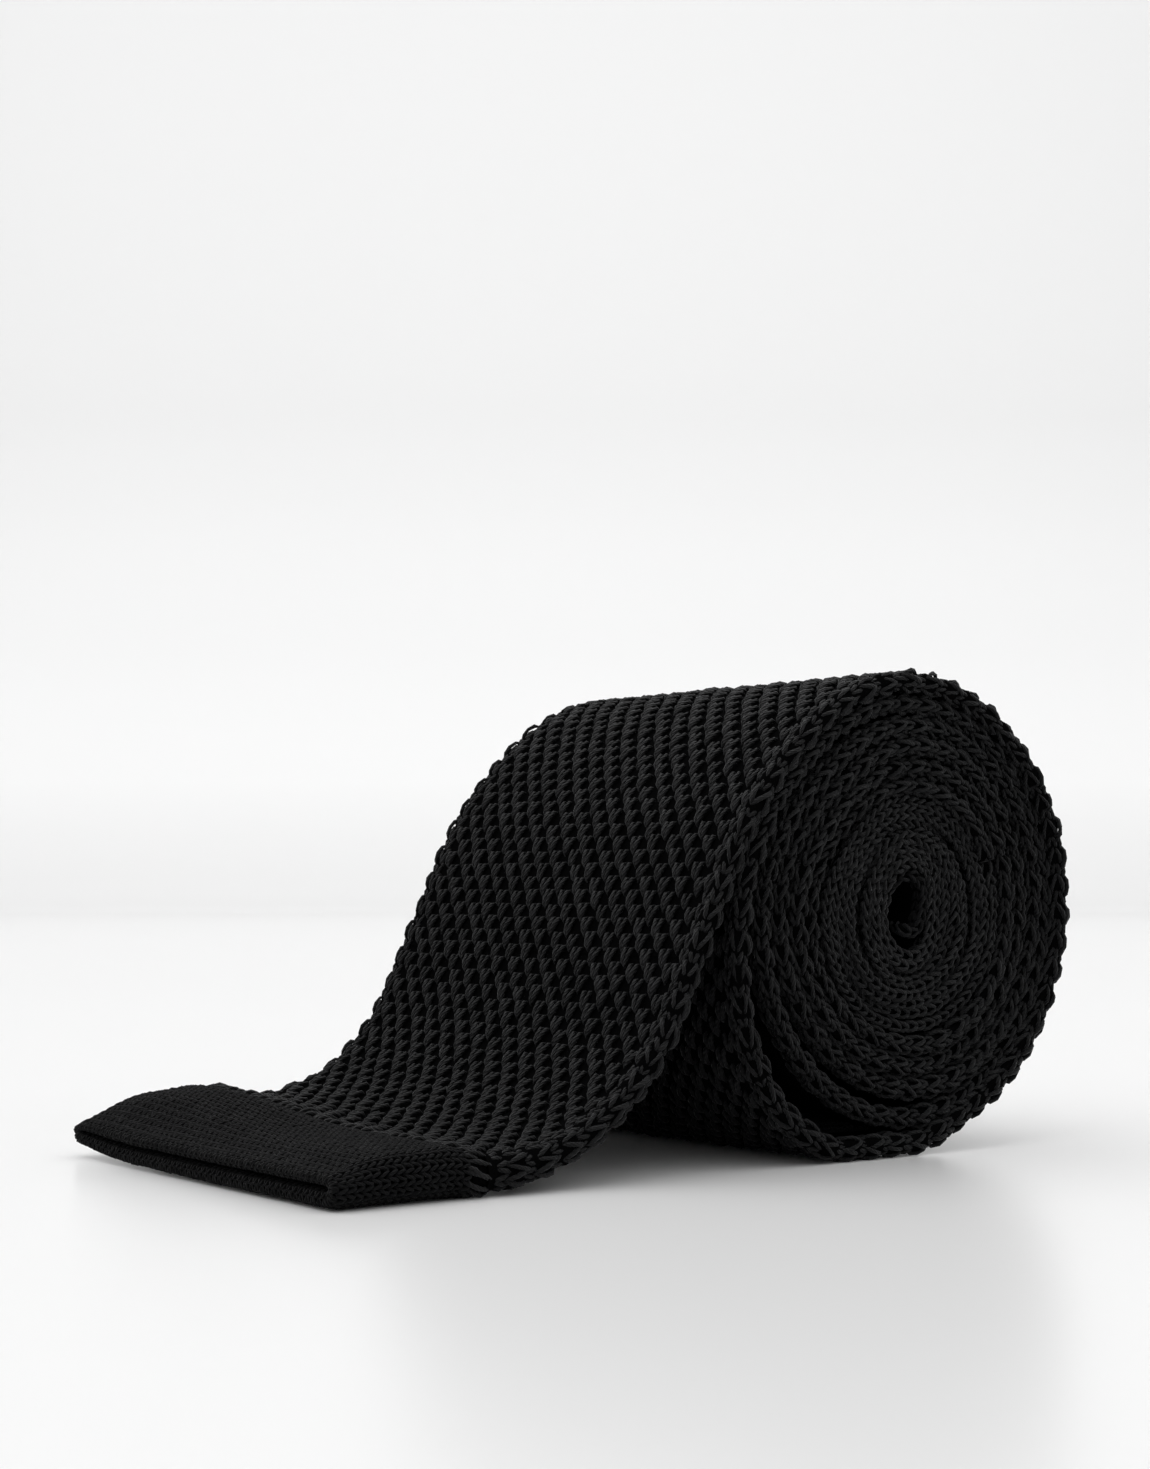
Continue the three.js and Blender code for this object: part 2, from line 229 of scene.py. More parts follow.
def place(s, p, h):
    """Points on the tie: s along it from the tip, p round its section from the middle of its outer
    face, growing towards -Y, and h out from its surface. Returns points and surface normals."""
    s, p, h = np.broadcast_arrays(*(np.asarray(v, float) for v in (s, p, h)))
    r = thickness(s) / 2
    flat = width(s) / 2 - r
    perimeter = 4 * flat + 2 * np.pi * r
    p = wrap_around(p, perimeter / 2)
    side, q = np.where(p < 0, 1.0, -1.0), np.abs(p)
    angle = np.clip((q - flat) / r, 0, np.pi)
    under = np.clip(q - flat - np.pi * r, 0, None)
    over = np.minimum(q, flat)
    y = side * (over + r * np.sin(angle) - under)
    z = r * np.cos(angle)
    ny, nz = side * np.sin(angle), np.cos(angle)
    cx, cz = (np.interp(s, ALONG, LINE[:, k]) for k in (0, 1))
    cx = cx + np.minimum(s, 0)
    nx3, nz3 = (np.interp(s, ALONG, NORMAL[:, k]) for k in (0, 1))
    lift = tongue_lift(s, y)
    up = (z + h * nz) * tip_pinch(s, y)
    puff = 1 + tip_puff(s, y) * smoothstep(-0.4, 0.6, z / r)
    points = np.stack([cx + nx3 * up * puff, y + h * ny, cz + nz3 * up * puff + lift], -1)
    normals = np.stack([nx3 * nz, ny, nz3 * nz], -1)
    return points, normals


def hem_place(s, p, h):
    """As place(), but past the lip of the tip the cloth turns over and runs back inside."""
    r = HEM_WALL / 2
    s, p, h = np.broadcast_arrays(*(np.asarray(v, float) for v in (s, p, h)))
    turn = np.clip((r - s) / r, 0, np.pi)
    back = np.clip(r - s - np.pi * r, 0, None)
    along = np.where(s > r, s, r - (r + h) * np.sin(turn) + back)
    depth = np.where(s > r, h, (r + h) * np.cos(turn) - r)
    return place(along, p, depth)[0]


def hem_surface(s, p, h):
    """Points of the hem, with normals measured from the surface itself."""
    points = hem_place(s, p, h)
    normals = hem_place(s, p, np.asarray(h) + 0.05) - points
    return points, normals / np.linalg.norm(normals, axis=-1)[..., None]


def tongue_lift(s, y):
    """Keeps the thicker free end just above the ground, and curls its back corner up a little."""
    base = np.maximum(0, thickness(s) / 2 + YARN_CLEARANCE - TIP_THICKNESS / 2)
    near = 1 - smoothstep(20, 44, s)
    back = smoothstep(-8, 30, y) * (1 - smoothstep(18, 42, s))
    corner = smoothstep(14, 30, y) * (1 - smoothstep(0, 12, s))
    return base * near + 1.8 * back * smoothstep(-2, 9, s) + 0.6 * corner


def tip_pinch(s, y):
    """Thins the back corner of the tip."""
    return 1 - 0.28 * smoothstep(20, 30.5, y) * (1 - smoothstep(4, 16, s))


def tip_puff(s, y):
    """The hem inside the tip pushes its upper face up, most of all at the seam and to the back,
    and that face rolls down to the lip."""
    crown = np.clip(1 - (y / 31) ** 4, 0, 1) ** 0.5
    bump = smoothstep(-1, 8, s) * (1 - smoothstep(17.5, 27, s))
    nose = -0.42 * (1 - smoothstep(-0.5, 6, s))
    return bump * crown * (0.2 + 0.4 * smoothstep(-12, 18, y)) + nose


def wrap_around(p, half):
    """p brought into the range from -half to half."""
    return (p + half) % (2 * half) - half


def fold_at(s):
    """The value of p at the middle of the front fold."""
    r = thickness(s) / 2
    return width(s) / 2 - r + np.pi * r / 2


def half_round(s):
    """Half the perimeter of the section: p at the middle of the inner face."""
    return 2 * fold_at(s)


# ---- meshes --------------------------------------------------------------------------------------
def make_mesh(name, points, quads, uvs, slots, indices=None):
    """A mesh object from arrays: points in the roll's frame in mm, and quads, turned outward."""
    co = points.reshape(-1, 3) + np.array([SHIFT_X, 0, 0])
    a, b, c, d = (co[quads[:, k]] for k in range(4))
    middle = co.mean(axis=0)
    volume = np.einsum("ij,ij->", (a + c - 2 * middle), np.cross(c - a, d - b))
    if volume < 0:
        quads, uvs = quads[:, ::-1], uvs[:, ::-1]
    mesh = bpy.data.meshes.new(name)
    mesh.vertices.add(len(co))
    mesh.vertices.foreach_set("co", (co * MM).astype(np.float32).ravel())
    mesh.loops.add(quads.size)
    mesh.loops.foreach_set("vertex_index", quads.astype(np.int32).ravel())
    mesh.polygons.add(len(quads))
    mesh.polygons.foreach_set("loop_start", np.arange(0, quads.size, 4, dtype=np.int32))
    if indices is not None:
        mesh.polygons.foreach_set("material_index", indices.astype(np.int32))
    layer = mesh.uv_layers.new(name="yarn")
    layer.data.foreach_set("uv", np.ascontiguousarray(uvs, dtype=np.float32).ravel())
    mesh.update(calc_edges=True)
    mesh.polygons.foreach_set("use_smooth", np.ones(len(quads), bool))
    for material in slots:
        mesh.materials.append(material)
    piece = bpy.data.objects.new(name, mesh)
    bpy.context.scene.collection.objects.link(piece)
    return piece


def grid_quads(rows, columns, closed):
    """Quads of a grid of points, whose rows are rings if closed."""
    last = columns if closed else columns - 1
    i, j = np.meshgrid(np.arange(rows - 1), np.arange(last), indexing="ij")
    k = (j + 1) % columns
    here, below = i * columns, (i + 1) * columns
    return np.stack([here + j, below + j, below + k, here + k], -1)


def ring_cap(start, columns):
    """Quads that close a ring of an even number of points."""
    k = np.arange(columns // 2 - 1)
    return start + np.stack([k, k + 1, columns - 2 - k, columns - 1 - k], -1)


def tube_rings(centres, normals, radius):
    """Rings of points round each tube, and how far along its tube each ring is. The section turns
    along the tube, as two plies twisted together do."""
    count, points, _ = centres.shape
    tangent = np.gradient(centres, axis=1)
    tangent /= np.linalg.norm(tangent, axis=2)[..., None]
    across = np.cross(tangent, normals)
    across /= np.linalg.norm(across, axis=2)[..., None]
    up = np.cross(across, tangent)
    phi = np.arange(YARN_SIDES) * 2 * np.pi / YARN_SIDES
    length = np.linalg.norm(np.diff(centres, axis=1), axis=2)
    along = np.concatenate([np.zeros((count, 1)), np.cumsum(length, axis=1)], axis=1)
    turn = along * YARN_TWIST + RNG.uniform(0, np.pi, (count, 1))
    taper = np.ones(points)
    taper[[0, -1]] = 0.55
    size = np.broadcast_to(radius, (count,))[:, None] * taper
    reach = size[..., None] * (1 + YARN_PLY * np.cos(2 * (phi - turn[..., None])))
    ring = (
        centres[:, :, None]
        + up[:, :, None] * (reach * np.cos(phi))[..., None]
        + across[:, :, None] * (reach * np.sin(phi))[..., None]
    )
    return ring, along


def tubes(name, centres, normals, radius, slots, shades):
    """One mesh of many yarn tubes. centres and normals are tubes x points x 3, and shades says
    which of the slots each tube wears."""
    count, points, _ = centres.shape
    sides = YARN_SIDES
    ring, along = tube_rings(centres, normals, radius)
    one = grid_quads(points, sides, True).reshape(-1, 4)
    caps = np.concatenate([ring_cap(0, sides), ring_cap((points - 1) * sides, sides)[:, ::-1]])
    pattern = np.concatenate([one, caps])
    quads = (np.arange(count)[:, None, None] * points * sides + pattern).reshape(-1, 4)
    j = np.tile(np.arange(sides), points - 1)
    i = np.repeat(np.arange(points - 1), sides)
    mean = along.mean(axis=0) / 4
    u = np.stack([mean[i], mean[i + 1], mean[i + 1], mean[i]], -1)
    v = np.stack([j, j, j + 1, j + 1], -1) / sides
    one_uv = np.concatenate([np.stack([u, v], -1), np.zeros((len(caps), 4, 2))])
    uv = np.tile(one_uv, (count, 1, 1))
    indices = np.repeat(shades, len(pattern))
    return make_mesh(name, ring.reshape(-1, 3), quads, uv, slots, indices)


def spline(knots, count):
    """A Catmull-Rom curve through the knots, sampled at even steps of its parameter."""
    knots = np.asarray(knots, float)
    ends = [2 * knots[0] - knots[1]], [2 * knots[-1] - knots[-2]]
    k = np.concatenate([ends[0], knots, ends[1]])
    t = np.linspace(0, len(knots) - 1, count)
    i = np.minimum(t.astype(int), len(knots) - 2)
    f = (t - i)[:, None]
    p0, p1, p2, p3 = k[i], k[i + 1], k[i + 2], k[i + 3]
    return 0.5 * (
        2 * p1
        + (p2 - p0) * f
        + (2 * p0 - 5 * p1 + 4 * p2 - p3) * f**2
        + (3 * p1 - p0 - 3 * p2 + p3) * f**3
    )


def whole_stitch(half, count):
    """A whole stitch from one leg of it, both legs meeting at the foot. Rows are (courses along,
    wales across, height in mm)."""
    half = np.asarray(half, float)
    mirrored = half[-2::-1] * np.array([1, -1, 1])
    return spline(np.concatenate([half, mirrored]), count)


# One leg of a plain stitch from its head down to its foot, and of a tuck stitch, which is shorter
# and stands out more, so that a hole is left beyond its head. The head itself lies behind.
PLAIN = [
    (0.66, 0.47, -0.45), (0.42, 0.42, 0.0), (0.0, 0.28, 0.15), (-0.42, 0.14, 0.0), (-0.7, 0, -0.4),
]
TUCK = [
    (0.62, 0.36, -0.5), (0.42, 0.35, 0.0), (0.0, 0.26, 0.14), (-0.42, 0.16, 0.0), (-0.7, 0, -0.42),
]
# A slanting stitch that binds an edge, and a bar of a tack.
WHIP = [(-0.7, -0.3, -0.5), (-0.45, -0.2, 0.08), (0.0, 0, 0.3), (0.45, 0.2, 0.08), (0.7, 0.3, -0.5)]
TACK = [(0.1, -0.75, -0.35), (0.2, -0.6, 0.12), (-0.1, 0.6, 0.12), (0, 0.75, -0.35)]

PLAIN_FORM = whole_stitch(PLAIN, 9)
TUCK_FORM = whole_stitch(TUCK, 9)
FINE_FORM = whole_stitch(PLAIN, 9) * [1, 1, 0.8]
HEM_FORM = whole_stitch(PLAIN, 9) * [1, 1, 0.6]
WHIP_FORM = spline(WHIP, 8)
TACK_FORM = spline(TACK, 7)


def stitches(
    name, s, p, course, wale, form, radius, slots, lift=0.0, grow=1.0, where=None, rough=1.0
):
    """Stitches at (s, p), one array entry each, drawn by form and carried onto the tie. lift is
    how far each stands out, grow how much larger than the others it is, and rough how much
    they differ at random."""
    number = len(s)
    s, p, lift, grow = (np.broadcast_to(v, (number,))[:, None] for v in (s, p, lift, grow))
    lean, tall, high, ahead, aside = (RNG.normal(0, rough, (number, 1)) for _ in range(5))
    ds = form[:, 0] * course * grow * (1 + 0.06 * tall) + 0.05 * course * ahead
    dp = (form[:, 1] + 0.12 * lean * form[:, 0]) * wale * grow + 0.04 * wale * aside
    dh = form[:, 2] + lift + 0.08 * high
    centres, normals = (where or place)(s + ds, p + dp, dh)
    size = radius * (1 + RNG.normal(0, 0.07, number))
    shares = SHADE_SHARES[: len(slots)] / SHADE_SHARES[: len(slots)].sum()
    shades = RNG.choice(len(slots), number, p=shares)
    return tubes(name, centres, normals, size, slots, shades)


def ground(name, s0, s1, step, slots, depth=0.27, flats=36, bends=8, fold_depth=0.05, swell=0.0):
    """The cloth itself under the raised yarn: a closed flat tube from s0 to s1. It lies depth
    below the surface, and nearer to it at the folds, where it swells under every other course."""
    rows = max(4, int((s1 - s0) / step))
    s = np.linspace(s0, s1, rows + 1)[:, None]
    r = thickness(s) / 2
    flat = width(s) / 2 - r
    over = np.linspace(-1, 1, flats + 1)[None, :-1] * flat
    bend = np.linspace(0, 1, bends + 1)[None, :-1] * np.pi * r
    under = np.linspace(0, 1, flats + 1)[None, :-1] * 2 * flat
    half = flat + np.pi * r
    p = np.concatenate([over, flat + bend, half + under, half + 2 * flat + bend], 1)
    to_fold = np.abs(np.abs(wrap_around(p, half_round(s))) - fold_at(s))
    away = smoothstep(r * 1.6, r * 1.6 + 2, to_fold)
    below = fold_depth + (depth - fold_depth) * away
    below = below - swell * (1 - away) * (0.5 + 0.5 * np.cos(np.pi * s / COURSE))
    points, _ = place(np.broadcast_to(s, p.shape), p, -below)
    columns = p.shape[1]
    quads = grid_quads(rows + 1, columns, True).reshape(-1, 4)
    caps = np.concatenate([ring_cap(0, columns)[:, ::-1], ring_cap(rows * columns, columns)])
    i = np.repeat(np.arange(rows), columns)
    j = np.tile(np.arange(columns), rows)
    length = (s1 - s0) / rows
    u = np.stack([i, i + 1, i + 1, i], -1) * length
    v = np.stack([j, j, j + 1, j + 1], -1) * (ROUND / columns)
    uv = np.concatenate([np.stack([u, v], -1), np.zeros((len(caps), 4, 2))])
    return make_mesh(name, points.reshape(-1, 3), np.concatenate([quads, caps]), uv, slots)


# ---- materials -----------------------------------------------------------------------------------
def add_noise(tree, scale, detail):
    """Noise in the piece's own coordinates."""
    place_at = tree.nodes.new("ShaderNodeTexCoord")
    noise = tree.nodes.new("ShaderNodeTexNoise")
    noise.inputs["Scale"].default_value = scale
    noise.inputs["Detail"].default_value = detail
    tree.links.new(place_at.outputs["Object"], noise.inputs["Vector"])
    return noise.outputs["Fac"]


def add_strands(tree):
    """Slanting bands along the yarn."""
    uv = tree.nodes.new("ShaderNodeUVMap")
    uv.uv_map = "yarn"
    slant = tree.nodes.new("ShaderNodeMapping")
    slant.inputs["Rotation"].default_value = (0, 0, math.radians(38))
    bands = tree.nodes.new("ShaderNodeTexWave")
    bands.inputs["Scale"].default_value = 2.6
    bands.inputs["Distortion"].default_value = 1.2
    bands.inputs["Detail Scale"].default_value = 3
    tree.links.new(uv.outputs["UV"], slant.inputs["Vector"])
    tree.links.new(slant.outputs["Vector"], bands.inputs["Vector"])
    return bands.outputs["Fac"]


def add_bump(tree, height, strength, distance, normal=None):
    """A bump of this height in metres, on top of another one if a normal is given."""
    bump = tree.nodes.new("ShaderNodeBump")
    bump.inputs["Strength"].default_value = strength
    bump.inputs["Distance"].default_value = distance
    tree.links.new(height, bump.inputs["Height"])
    if normal is not None:
        tree.links.new(normal, bump.inputs["Normal"])
    return bump.outputs["Normal"]


def yarn_material(name, colour, roughness, sheen, shine=0.14, twist=True):
    """Dyed yarn: a constant colour, roughness that drifts, and a bump of twisted fibres."""
    material = bpy.data.materials.new(name)
    material.use_nodes = True
    tree = material.node_tree
    shader = tree.nodes["Principled BSDF"]
    shader.inputs["Base Color"].default_value = (*colour, 1)
    shader.inputs["Sheen Weight"].default_value = sheen
    shader.inputs["Sheen Roughness"].default_value = 0.45
    shader.inputs["Sheen Tint"].default_value = (0.72, 0.74, 0.78, 1)
    shader.inputs["Specular IOR Level"].default_value = shine
    spread = tree.nodes.new("ShaderNodeMapRange")
    spread.inputs["To Min"].default_value = roughness - 0.1
    spread.inputs["To Max"].default_value = roughness + 0.12
    tree.links.new(add_noise(tree, 260, 3), spread.inputs["Value"])
    tree.links.new(spread.outputs["Result"], shader.inputs["Roughness"])
    normal = add_bump(tree, add_noise(tree, 9000, 2), 0.5, 0.00006)
    if twist:
        normal = add_bump(tree, add_strands(tree), 0.8, 0.00008, normal)
    tree.links.new(normal, shader.inputs["Normal"])
    return material


SHADE_SHARES = np.array([0.6, 0.26, 0.14])


def yarn_shades(name, colour, roughness, sheen, shine=0.14, gains=(1.0, 1.4, 0.65)):
    """Three close shades of one yarn, as the light catches some stitches more than others."""
    return [
        yarn_material(f"{name}_{k}", [c * gain for c in colour], roughness, sheen, shine)
        for k, gain in enumerate(gains)
    ]


BLADE_YARN = yarn_shades("blade_yarn", (0.0028, 0.0028, 0.0031), 0.48, 0.05)
FINE_YARN = yarn_shades("fine_yarn", (0.0036, 0.0036, 0.0039), 0.5, 0.06)
FACING_YARN = yarn_shades("facing_yarn", (0.0024, 0.0024, 0.0027), 0.6, 0.02, 0.09, (1.0, 1.2, 0.6))
SEAM_YARN = yarn_shades("seam_yarn", (0.0055, 0.0055, 0.0058), 0.46, 0.06)
TAPE_YARN = yarn_shades("tape_yarn", (0.0045, 0.0045, 0.0048), 0.45, 0.05)
# The cloth under the raised yarn: the back of the knit, darker than the yarn itself as painted
# shade in the holes between the stitches.
GROUND_CLOTH_PAINTED_SHADE = [
    yarn_material("ground_cloth_painted_shade", (0.0013, 0.0013, 0.0014), 0.95, 0.0, shine=0.01, twist=False)
]

# ---- the knit ------------------------------------------------------------------------------------
COURSE, WALE = 1.8, 1.6
EDGE_WALE = 1.36
FINE_COURSE, FINE_WALE = 1.4, 1.2
HEM_COURSE, HEM_WALE = 0.98, 1.12
INNER_COURSE = 1.7
EDGE_WALES, FACE_WALES = 4, 16


def courses(s0, s1, pitch):
    """Course numbers and their places between s0 and s1, counted from the tip of the tie."""
    number = np.arange(math.ceil(s0 / pitch), math.ceil(s1 / pitch))
    return number, number * pitch


def face_lattice(s0, s1, inner_face):
    """Places of the tuck stitches of one face: every other wale, staggered at each course."""
    number, along = courses(s0, s1, COURSE)
    wales = np.arange(-FACE_WALES, FACE_WALES + 1)
    j, i = np.meshgrid(number, wales, indexing="ij")
    s = np.broadcast_to(along[:, None], j.shape)
    centre = half_round(s) if inner_face else 0
    keep = (i + j) % 2 == 0
    reach = fold_at(s) - (EDGE_WALES / 2 + 0.3) * EDGE_WALE
    p = centre + i * reach / (FACE_WALES + 0.4)
    return s[keep], p[keep]


def edge_lattice(s0, s1, pitch, wale, wales):
    """Places of the plain stitches round both folds, and how far each course stands out."""
    number, along = courses(s0, s1, pitch)
    ranks = np.arange(wales) - (wales - 1) / 2
    j, i, side = np.meshgrid(number, ranks, [-1, 1], indexing="ij")
    s = np.broadcast_to(along[:, None, None], j.shape) + 0.25 * pitch * (i % 2)
    p = side * (fold_at(s) + i * wale)
    out = np.where(j % 2 == 0, 1.0, 0.0) * np.exp(-((i / 1.6) ** 2))
    return s.ravel(), p.ravel(), out.ravel()


def knit_faces(name, s0, s1, inner_face):
    """The staggered tuck stitches of one face of the wide blade."""
    s, p = face_lattice(s0, s1, inner_face)
    return stitches(name, s, p, COURSE, WALE, TUCK_FORM, 0.29, BLADE_YARN)


def knit_edges(name, s0, s1, wales, course, spread):
    """The plain stitches round both folds of the wide blade, with every other course prouder."""
    s, p, out = edge_lattice(s0, s1, course, EDGE_WALE, wales)
    lift, grow = spread * out - 0.12, 0.94 + 0.4 * spread * out
    return stitches(
        name, s, p, course, EDGE_WALE, PLAIN_FORM, 0.25, BLADE_YARN, lift, grow
    )


def knit_fine_edges(name, s0, s1, slots):
    """The fine knit's folds: one chain of stitches stands out, with a sunken one on each side."""
    s, p, _ = edge_lattice(s0, s1, FINE_COURSE, FINE_WALE, 3)
    beside = np.tile(np.repeat([1.0, 0.0, 1.0], 2), len(s) // 6)
    lift = 0.1 - 0.3 * beside + RNG.normal(0, 0.05, len(s))
    return stitches(name, s, p, FINE_COURSE, FINE_WALE, FINE_FORM, 0.235, slots, lift, rough=0.7)


def attach(pieces, slot, body=None, blend=None):
    """Rides pieces on a body, or, given a blend, leaves them unattached with their placing baked
    into their meshes.
    """
    for piece in pieces:
        if blend:
            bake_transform(piece)
        else:
            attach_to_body(piece, body)


def build_wide_blade():
    """The wide blade from the tip seam to the seam of the neckband."""
    stretches = [
        ("foot", FOOT_AT, MID_DRAPE_AT, dict(blend=("drape", "tip", FOOT_HINGE_AT)), "draped"),
        ("drape", MID_DRAPE_AT, ROLL_TOP_AT, dict(blend=("roll", "drape", LEAVE_AT)), "draped"),
        ("outer_turn", ROLL_TOP_AT, OUTER_END_AT, dict(body="roll"), "folded"),
    ]
    seams = {
        "foot": build_tip_seam(),
        "inner": build_core_seam("blade_to_neck_seam", BLADE_END_AT, 2.0),
    }
    for name, s0, s1, how, held in stretches:
        cloth = ground(f"wide_blade_{name}_cloth", s0, s1, 0.6, GROUND_CLOTH_PAINTED_SHADE, swell=0.38)
        middle = (s0 + s1) / 2
        yarns = [
            knit_faces(f"wide_blade_{name}_outer_face_1", s0, middle, False),
            knit_faces(f"wide_blade_{name}_outer_face_2", middle, s1, False),
        ]
        if name != "outer_turn":
            yarns.append(knit_faces(f"wide_blade_{name}_inner_face", s0, s1, True))
        yarns.append(knit_edges(f"wide_blade_{name}_folds", s0, s1, EDGE_WALES, COURSE, 0.45))
        attach([cloth, *yarns], "blade_knit", **how)
        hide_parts(f"wide_blade_{name}")
    s0, s1 = OUTER_END_AT, BLADE_END_AT
    cloth = ground("wide_blade_inner_turns_cloth", s0, s1, 2.0, GROUND_CLOTH_PAINTED_SHADE, flats=8)
    thirds = np.linspace(s0, s1, 4)
    yarns = [
        knit_edges(
            f"wide_blade_inner_turns_folds_{k + 1}", thirds[k], thirds[k + 1], 4, INNER_COURSE, 0.35
        )
        for k in range(3)
    ]
    attach([cloth, *yarns], "blade_knit", body="roll")
    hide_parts("wide_blade_inner_turns")


def build_core():
    """The neckband and the narrow blade, wound inside the wide blade."""
    parts = [
        ("neckband", BLADE_END_AT + 2, NECK_END_AT, "fine_knit", FINE_YARN),
        ("narrow_blade", NECK_END_AT + 2, NARROW_FACING_AT, "fine_knit", FINE_YARN),
        (
            "narrow_end_facing", NARROW_FACING_AT + 1.5, CORE_END_AT - 0.6,
            "facing_knit", FACING_YARN,
        ),
    ]
    seams = {
        "neckband": build_core_seam("neck_to_narrow_seam", NECK_END_AT, 2.0),
        "narrow_blade": build_core_seam("narrow_end_seam", NARROW_FACING_AT, 1.5),
    }
    for name, s0, s1, slot, slots in parts:
        cloth = ground(f"{name}_cloth", s0, s1, 1.0, GROUND_CLOTH_PAINTED_SHADE, depth=0.26, flats=6, bends=4)
        folds = knit_fine_edges(f"{name}_folds", s0, s1, slots)
        attach([cloth, folds], slot, body="roll")
        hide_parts(name)


def whip_row(name, s, reach, pitch, radius, depth=0.0):
    """A row of short slanting stitches all round the tie at s, binding two edges together."""
    around = 2 * half_round(s)
    count = int(around / pitch)
    p = (np.arange(count) + 0.5) * around / count - around / 2
    at = np.full(count, s) + RNG.normal(0, 0.12, count)
    lift = RNG.normal(-depth, 0.09, count)
    return stitches(name, at, p, reach, pitch, WHIP_FORM, radius, SEAM_YARN, lift)


def build_core_seam(name, s0, length):
    """A join inside the roll, where one knit is whipped to the next."""
    cloth = ground(
        f"{name}_cloth", s0, s0 + length, 0.5, GROUND_CLOTH_PAINTED_SHADE, depth=0.1, flats=10, bends=4
    )
    row = whip_row(f"{name}_stitches", s0 + length / 2, length, 1.0, 0.19)
    attach([cloth, row], "seam_yarn", body="roll")
    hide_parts(name)
    return [cloth, row]


def build_tip_seam():
    """The bulky row where the facing is joined to the wide blade."""
    core = ground(
        "tip_seam_cloth", SEAM_AT - 0.2, FOOT_AT + 0.2, 0.4, GROUND_CLOTH_PAINTED_SHADE, depth=0.25, flats=40
    )
    rows = [
        whip_row("tip_seam_whipping", (SEAM_AT + FOOT_AT) / 2, 2.3, 1.15, 0.26),
        whip_row("tip_seam_loops", SEAM_AT - 0.1, 1.4, 1.5, 0.24),
    ]
    attach([core, *rows], "seam_yarn", body="tip")
    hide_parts("tip_seam")
    return [core, *rows]


def hem_cloth(name):
    """The folded hem as one closed body: outside, over the lip, and back inside the mouth."""
    lip = math.pi * HEM_WALL / 2
    outside = np.linspace(TIP_LENGTH, HEM_WALL / 2, 20)
    turned = np.linspace(HEM_WALL / 2, HEM_WALL / 2 - lip, 9)[1:]
    inside = np.linspace(turned[-1], turned[-1] - HEM_DEPTH, 10)[1:]
    s = np.concatenate([outside, turned, inside])[:, None]
    columns = 96
    fraction = (np.arange(columns) + 0.5) / columns - 0.5
    p = fraction[None, :] * 2 * half_round(np.maximum(s, 0))
    points = hem_place(s, p, -0.22)
    quads = grid_quads(len(s), columns, True).reshape(-1, 4)
    last = (len(s) - 1) * columns
    caps = np.concatenate([ring_cap(0, columns)[:, ::-1], ring_cap(last, columns)])
    uv = np.zeros((len(quads) + len(caps), 4, 2))
    return make_mesh(name, points.reshape(-1, 3), np.concatenate([quads, caps]), uv, GROUND_CLOTH_PAINTED_SHADE)


def hem_lattice(s0, s1, half):
    """Places of the fine plain stitches of the hem: the outer half of its round, or the inner."""
    number, along = courses(s0, s1, HEM_COURSE)
    wales = int(half_round(8.0) / HEM_WALE)
    j, i = np.meshgrid(number, np.arange(wales), indexing="ij")
    s = np.broadcast_to(along[:, None], j.shape)
    share = (i + 0.5) / wales - 0.5 + (0 if half == 0 else 1)
    return s.ravel(), (share * half_round(np.maximum(s, 0))).ravel()


def build_tip():
    """The square end: a fine facing, turned in at the mouth."""
    cloth = hem_cloth("tip_facing_cloth")
    lip = -(math.pi / 2 + 1.2) * HEM_WALL
    bands = [
        ("upper", 0, HEM_WALL / 2, TIP_LENGTH, FACING_YARN),
        ("lower", 1, HEM_WALL / 2, TIP_LENGTH, FACING_YARN),
        # The lips wear only the darkest shade of the facing yarn: painted shade, as the lips face
        # away from the light.
        ("upper_lip_painted_shade", 0, lip, HEM_WALL / 2, FACING_YARN[2:]),
        ("lower_lip_painted_shade", 1, lip, HEM_WALL / 2, FACING_YARN[2:]),
    ]
    yarns = []
    for band, half, s0, s1, slots in bands:
        s, p = hem_lattice(s0, s1, half)
        name = f"tip_facing_{band}_stitches"
        yarn = stitches(
            name, s, p, HEM_COURSE, HEM_WALE, HEM_FORM, 0.19, slots, where=hem_surface, rough=0.25
        )
        yarns.append(yarn)
    attach([cloth, *yarns], "facing_knit", body="tip")
    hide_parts("tip_facing")


def flat_place(centre, base):
    """A placer for stitches that lie on a level patch: s runs along x and p along y."""

    def where(s, p, h):
        s, p, h = np.broadcast_arrays(*(np.asarray(v, float) for v in (s, p, h)))
        points = np.stack([centre - s, -p, base(p) + h], -1)
        return points, np.broadcast_to([0.0, 0.0, 1.0], points.shape)

    return where


def keeper_height(y):
    """Height of the keeper tape's middle over its sewn-down ends."""
    return KEEPER_RISE * (1 - smoothstep(KEEPER_WIDTH / 2 - 10, KEEPER_WIDTH / 2 - 4, np.abs(y)))


def build_keeper_tape(centre, base):
    """The ribbed tape of the keeper loop, standing off the cloth between its sewn-down ends."""
    ribs = 12
    x = np.linspace(-0.5, 0.5, ribs * 4 + 1) * KEEPER_LENGTH
    y = np.linspace(-0.5, 0.5, 120) * KEEPER_WIDTH
    weave = 0.05 * np.cos(x * 2 * np.pi * ribs / KEEPER_LENGTH)
    grids = []
    for sign in (1, -1):
        z = base + keeper_height(y)[:, None] + sign * (0.22 + weave[None, :])
        grids.append(np.stack(np.broadcast_arrays(centre + x, y[:, None], z), -1))
    ring = np.concatenate([grids[0], grids[1][:, ::-1]], axis=1)
    rows, columns = ring.shape[:2]
    quads = grid_quads(rows, columns, True).reshape(-1, 4)
    last = (rows - 1) * columns
    caps = np.concatenate([ring_cap(0, columns)[:, ::-1], ring_cap(last, columns)])
    faces = np.concatenate([quads, caps])
    uv = np.zeros((len(faces), 4, 2))
    return make_mesh("keeper_loop_tape", ring.reshape(-1, 3), faces, uv, TAPE_YARN[:1])


